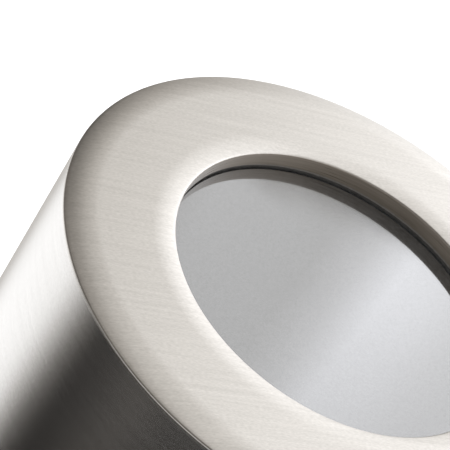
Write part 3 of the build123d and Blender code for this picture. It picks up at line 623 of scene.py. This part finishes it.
# ---- detailed pieces ---------------------------------------------------------------------------------
def stand_in(piece, node, body, material):
    """The piece is shown in place of a CAD node, dressed in the given material."""
    dress(piece, MATERIALS[material])
    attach(piece, body)
    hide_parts(node)
    return piece


def make_head():
    """Face ring and skirt in one smooth turned mesh, with the set screw holes cut."""
    bore = TUBE_RADIUS - TUBE_WALL
    profile = eased_edge(WINDOW_RADIUS, -1, INNER_ROLL_WIDTH, INNER_ROLL_DROP)[::-1]
    profile += eased_edge(TUBE_RADIUS, 1, OUTER_ROLL_WIDTH, OUTER_ROLL_DROP)
    profile += [(TUBE_RADIUS, SEAM + EDGE_BREAK), (TUBE_RADIUS - EDGE_BREAK, SEAM), (bore, SEAM)]
    profile += [(bore, FACE_UNDERSIDE), (WINDOW_RADIUS, FACE_UNDERSIDE)]
    head = lathe("head_shell_turned", profile)
    low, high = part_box("set_screws")
    holes = radial_cylinders(
        "holes",
        radius=(high.z - low.z) / 2 + SET_SCREW_CLEARANCE,
        inner=bore - DRILL_OVERSHOOT,
        outer=TUBE_RADIUS + DRILL_OVERSHOOT,
        height=(low.z + high.z) / 2,
        count=SET_SCREW_COUNT,
        start=SET_SCREW_START,
    )
    head = stand_in(drill(head, holes), "head_shell", "head", "head_steel")
    head.data.materials.append(MATERIALS["cut_steel"])
    for face in head.data.polygons:
        steep = abs(face.normal.z) < 0.5
        if steep and math.hypot(face.center.x, face.center.y) < WINDOW_RADIUS + EDGE_BREAK:
            face.material_index = 1


def make_lens():
    """Glass disc whose two edges are ground off."""
    low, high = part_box("glass_lens")
    radius = high.x
    outline = [
        (radius - LENS_EDGE_GRIND, low.z),
        (radius, low.z + LENS_EDGE_GRIND),
        (radius, high.z - LENS_EDGE_GRIND),
        (radius - LENS_EDGE_GRIND, high.z),
    ]
    lens = spin("lens_disc", lambda step: outline, TURNS, closed=False)
    stand_in(smooth(lens, sharp_degrees=20), "glass_lens", "head", "lens_glass")


def make_post_tube():
    """Tube with its top edges broken."""
    low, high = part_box("post_tube")
    bore = high.x - TUBE_WALL
    corners = [(high.x, low.z, 0), (high.x, high.z, EDGE_BREAK), (bore, high.z, EDGE_BREAK), (bore, low.z, 0)]
    stand_in(lathe("post_tube_turned", rounded(corners)), "post_tube", "post", "brushed_steel")


def make_seam_gasket():
    """Flat rubber ring whose outer edge bulges a little under the head's weight."""
    low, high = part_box("seam_gasket")
    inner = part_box("spigot_o_ring")[1].x + GASKET_INSET
    bulge = EDGE_BULGE * (high.z - low.z)
    corners = [(inner, low.z, 0), (high.x, low.z, bulge), (high.x, high.z, bulge), (inner, high.z, 0)]
    stand_in(lathe("seam_gasket_ring", rounded(corners)), "seam_gasket", "post", "black_rubber")


def make_base_cover():
    """Spun sheet with an upright skirt, a rounded shoulder and a gently rising top."""
    low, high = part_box("base_cover")
    shoulder = high.z - COVER_RISE
    inner = high.x - COVER_SHEET
    hem = EDGE_BULGE * COVER_SHEET
    corners = [
        (high.x, low.z, hem),
        (high.x, shoulder, COVER_SHOULDER),
        (COVER_BORE_RADIUS, high.z, EDGE_BREAK),
        (COVER_BORE_RADIUS, high.z - COVER_SHEET, EDGE_BREAK),
        (inner, shoulder - COVER_SHEET, COVER_SHOULDER - COVER_SHEET),
        (inner, low.z, hem),
    ]
    stand_in(lathe("base_cover_spun", rounded(corners, SHOULDER_STEPS)), "base_cover", "cover", "spun_steel")


def make_grip_ring():
    """Rubber ring snapped into the cover's bore, with a rounded lip above and below the sheet."""
    low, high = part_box("cover_grip_ring")
    cover_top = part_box("base_cover")[1].z
    inner = TUBE_RADIUS + GRIP_CLEARANCE
    waist = COVER_BORE_RADIUS - GRIP_WAIST_GAP
    upper_seat = cover_top + GRIP_TOP_GAP
    lower_seat = cover_top - COVER_SHEET - GRIP_UNDER_GAP
    corners = [
        (inner, low.z, GRIP_BORE_EDGE),
        (high.x, low.z, GRIP_FOOT_EDGE),
        (high.x, lower_seat, GRIP_SEAT_EDGE),
        (waist, lower_seat, 0),
        (waist, upper_seat, 0),
        (high.x, upper_seat, GRIP_SEAT_EDGE),
        (high.x, high.z, GRIP_LIP_EDGE),
        (inner, high.z, GRIP_BORE_EDGE),
    ]
    stand_in(lathe("grip_ring_moulded", rounded(corners)), "cover_grip_ring", "cover", "black_rubber")


def make_weld():
    """Fillet weld laid down in overlapping crescents, all the way round the foot of the tube."""
    low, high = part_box("base_weld")
    leg = high.z - low.z
    foot = high.x - leg

    def bead(step):
        outline = [(foot, low.z)]
        for k in range(WELD_STEPS_ACROSS + 1):
            side = k / WELD_STEPS_ACROSS
            middle = math.sin(math.pi * side)
            phase = (step / WELD_STEPS_PER_RIPPLE + WELD_SWEEP * middle) % 1
            reach = leg * (1 - WELD_HOLLOW * middle) * (1 - WELD_RIPPLE_DEPTH * phase * middle)
            angle = side * math.pi / 2
            outline.append((foot + reach * math.cos(angle), low.z + reach * math.sin(angle)))
        return outline

    weld = spin("base_weld_bead", bead, WELD_RIPPLES * WELD_STEPS_PER_RIPPLE)
    stand_in(smooth(weld, sharp_degrees=50), "base_weld", "post", "base_steel")


# ---- stage -------------------------------------------------------------------------------------------
def make_floor():
    bm = bmesh.new()
    bmesh.ops.create_circle(bm, cap_ends=True, segments=FLOOR_SIDES, radius=FLOOR_RADIUS)
    floor = new_object("floor", bm)
    dress(floor, Shader("floor_paper", Base_Color=(0.93, 0.93, 0.93, 1), Roughness=0.8).material)
    floor.visible_glossy = False


def area_light(name, azimuth, elevation, distance, size, power):
    """A round lamp that faces the head. Its angles are in degrees, and nothing mirrors it."""
    light = bpy.data.lights.new(name, "AREA")
    light.shape = "DISK"
    light.size = size
    light.energy = power
    lamp = bpy.data.objects.new(name, light)
    bpy.context.scene.collection.objects.link(lamp)
    turn, rise = math.radians(azimuth), math.radians(elevation)
    towards = Vector((math.sin(turn) * math.cos(rise), math.cos(turn) * math.cos(rise), math.sin(rise)))
    lamp.location = FACE_CENTRE + towards * distance
    lamp.rotation_euler = towards.to_track_quat("Z", "Y").to_euler()
    lamp.visible_glossy = False


def mixed(first, second, part):
    return [a + (b - a) * part for a, b in zip(first, second)]


def studio_colour(level):
    white = (1, 1, 1)
    if level < NEUTRAL_LEVEL:
        tint = mixed(SHADE_TINT, white, level / NEUTRAL_LEVEL)
    else:
        tint = mixed(white, BRIGHT_TINT, min((level - NEUTRAL_LEVEL) / (BRIGHT_LEVEL - NEUTRAL_LEVEL), 1))
    return [level * channel for channel in tint] + [1]


def studio_row(world, azimuth, stops):
    """The studio at one elevation: a colour that depends on the azimuth alone."""
    ramp = world.add("ShaderNodeValToRGB")
    world.feed(azimuth, ramp.inputs["Fac"])
    elements = ramp.color_ramp.elements
    while len(elements) < len(stops):
        elements.new(0.5)
    for element, (degrees, level) in zip(elements, stops):
        element.position = (degrees + 180) / 360
        element.color = studio_colour(level)
    return ramp.outputs["Color"]


def make_light():
    """A white room for the camera and soft light, and the studio for everything glossy."""
    background = bpy.data.worlds.new("studio")
    bpy.context.scene.world = background
    background.use_nodes = True
    world = Nodes(background.node_tree)
    x, y, z = world.split(world.add("ShaderNodeTexCoord").outputs["Generated"])
    azimuth = world.spread(world.maths("ARCTAN2", x, y), 0, 1, -math.pi, math.pi)
    elevation = world.maths("ARCSINE", z)
    below, stops = STUDIO[0]
    studio = studio_row(world, azimuth, stops)
    for above, stops in STUDIO[1:]:
        up = world.spread(elevation, 0, 1, math.radians(below), math.radians(above))
        studio = world.mix(up, studio, studio_row(world, azimuth, stops), "RGBA")
        below = above
    room = world.add("ShaderNodeRGB").outputs[0]
    room.default_value = (ROOM_LIGHT, ROOM_LIGHT, ROOM_LIGHT, 1)
    mirrored = world.add("ShaderNodeLightPath").outputs["Is Glossy Ray"]
    world.feed(world.mix(mirrored, room, studio, "RGBA"), world.tree.nodes["Background"].inputs["Color"])
    area_light("key", azimuth=-70, elevation=55, distance=2.2, size=1.6, power=40)
    area_light("fill", azimuth=80, elevation=50, distance=2.4, size=1.8, power=20)


def make_camera():
    camera = bpy.data.objects.new("camera", bpy.data.cameras.new("camera"))
    bpy.context.scene.collection.objects.link(camera)
    camera.data.sensor_width = CAMERA_SENSOR
    camera.data.lens = CAMERA_LENS
    camera.data.clip_start = CAMERA_NEAR
    back = CAMERA_DISTANCE * math.cos(CAMERA_ELEVATION)
    camera.location = RIM_CENTRE + Vector((0, -back, CAMERA_DISTANCE * math.sin(CAMERA_ELEVATION)))
    aim = Matrix.Rotation(CAMERA_YAW, 4, "Z") @ Matrix.Rotation(math.pi / 2 - CAMERA_DOWN, 4, "X")
    camera.rotation_euler = (aim @ Matrix.Rotation(CAMERA_ROLL, 4, "Z")).to_euler()
    bpy.context.scene.camera = camera


dress_cad_nodes()
make_head()
make_lens()
make_post_tube()
make_seam_gasket()
make_base_cover()
make_grip_ring()
make_weld()
make_floor()
make_light()
make_camera()
bpy.context.scene.view_settings.view_transform = "Standard"
